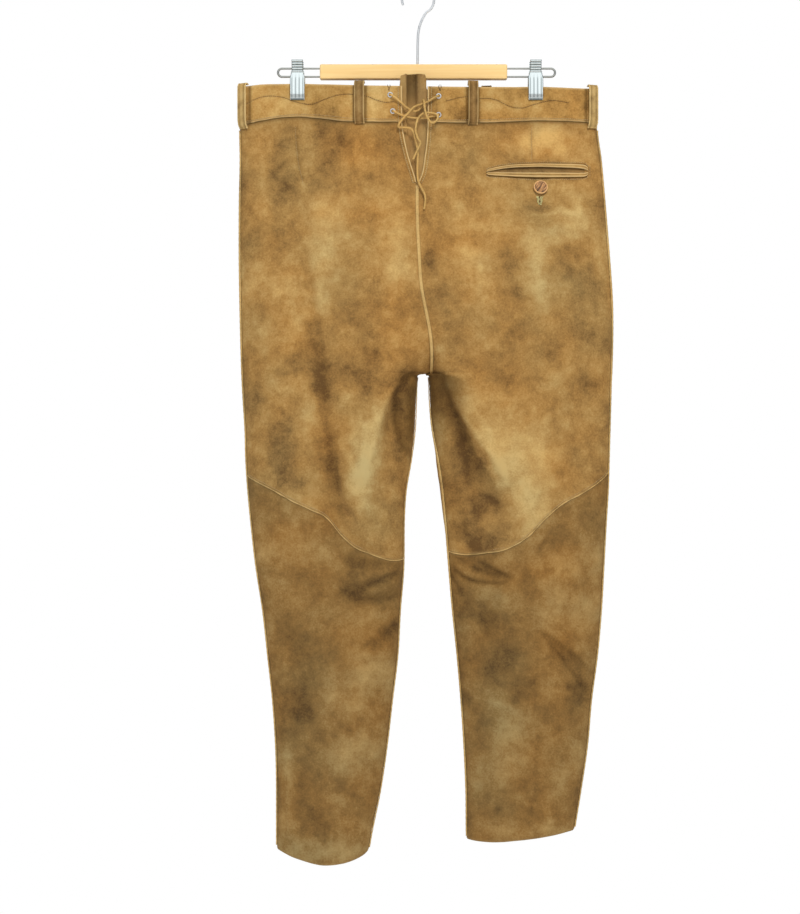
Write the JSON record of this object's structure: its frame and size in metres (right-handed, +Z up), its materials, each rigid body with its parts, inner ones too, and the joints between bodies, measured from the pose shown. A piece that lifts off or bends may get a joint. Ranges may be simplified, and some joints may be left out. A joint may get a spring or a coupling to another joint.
{
  "type": "lederhosen on a clip hanger",
  "caption": "Long suede leather breeches with a laced back notch, belt loops and a hip pocket, clipped by the waistband to a wooden trouser hanger.",
  "frame": {"origin": "inside of the hanger hook's top, where it rests on a rail", "axes": "+Z up, -Y out of the back of the breeches, +X towards the hip with the pocket, along the hanger's bar"},
  "size_m": [0.503, 0.0942, 1.1794],
  "materials": {
    "suede": "brushed brown suede with darker rubbed patches",
    "pale_leather": "pale raw leather edge",
    "dark_leather": "dark suede",
    "horn": "polished streaked horn",
    "chrome": "bright plated steel",
    "wood": "lacquered pale pine"
  },
  "bodies": {
    "root": {"back_calf_left": "suede", "back_calf_right": "suede", "back_left": "suede", "back_right": "suede", "belt_loop_back_left": "suede", "belt_loop_back_right": "suede", "belt_loop_front_left": "suede", "belt_loop_front_right": "suede", "belt_loop_side_left": "suede", "belt_loop_side_right": "suede", "centre_back_welt": "pale_leather", "clip_left_back_plate": "chrome", "clip_left_front_plate": "chrome", "clip_left_hub": "chrome", "clip_right_back_plate": "chrome", "clip_right_front_plate": "chrome", "clip_right_hub": "chrome", "eyelet_lower_left": "chrome", "eyelet_lower_right": "chrome", "eyelet_upper_left": "chrome", "eyelet_upper_right": "chrome", "front_left": "suede", "front_right": "suede", "front_shin_left": "suede", "front_shin_right": "suede", "hanger_bar": "wood", "hanger_hook": "chrome", "hanger_wire_left": "chrome", "hanger_wire_right": "chrome", "inseam_welt_left": "pale_leather", "inseam_welt_right": "pale_leather", "lace_bar": "pale_leather", "lace_left": "pale_leather", "lace_right": "pale_leather", "lacing_gusset": "dark_leather", "notch_edge_left": "pale_leather", "notch_edge_right": "pale_leather", "pocket_button": "horn", "pocket_facing": "dark_leather", "pocket_jet_lower": "suede", "pocket_jet_upper": "suede", "side_welt_left": "pale_leather", "side_welt_right": "pale_leather", "waist_button": "horn", "waistband_back_left": "suede", "waistband_back_right": "suede", "waistband_front_left": "suede", "waistband_front_right": "suede"}
  },
  "joints": []
}
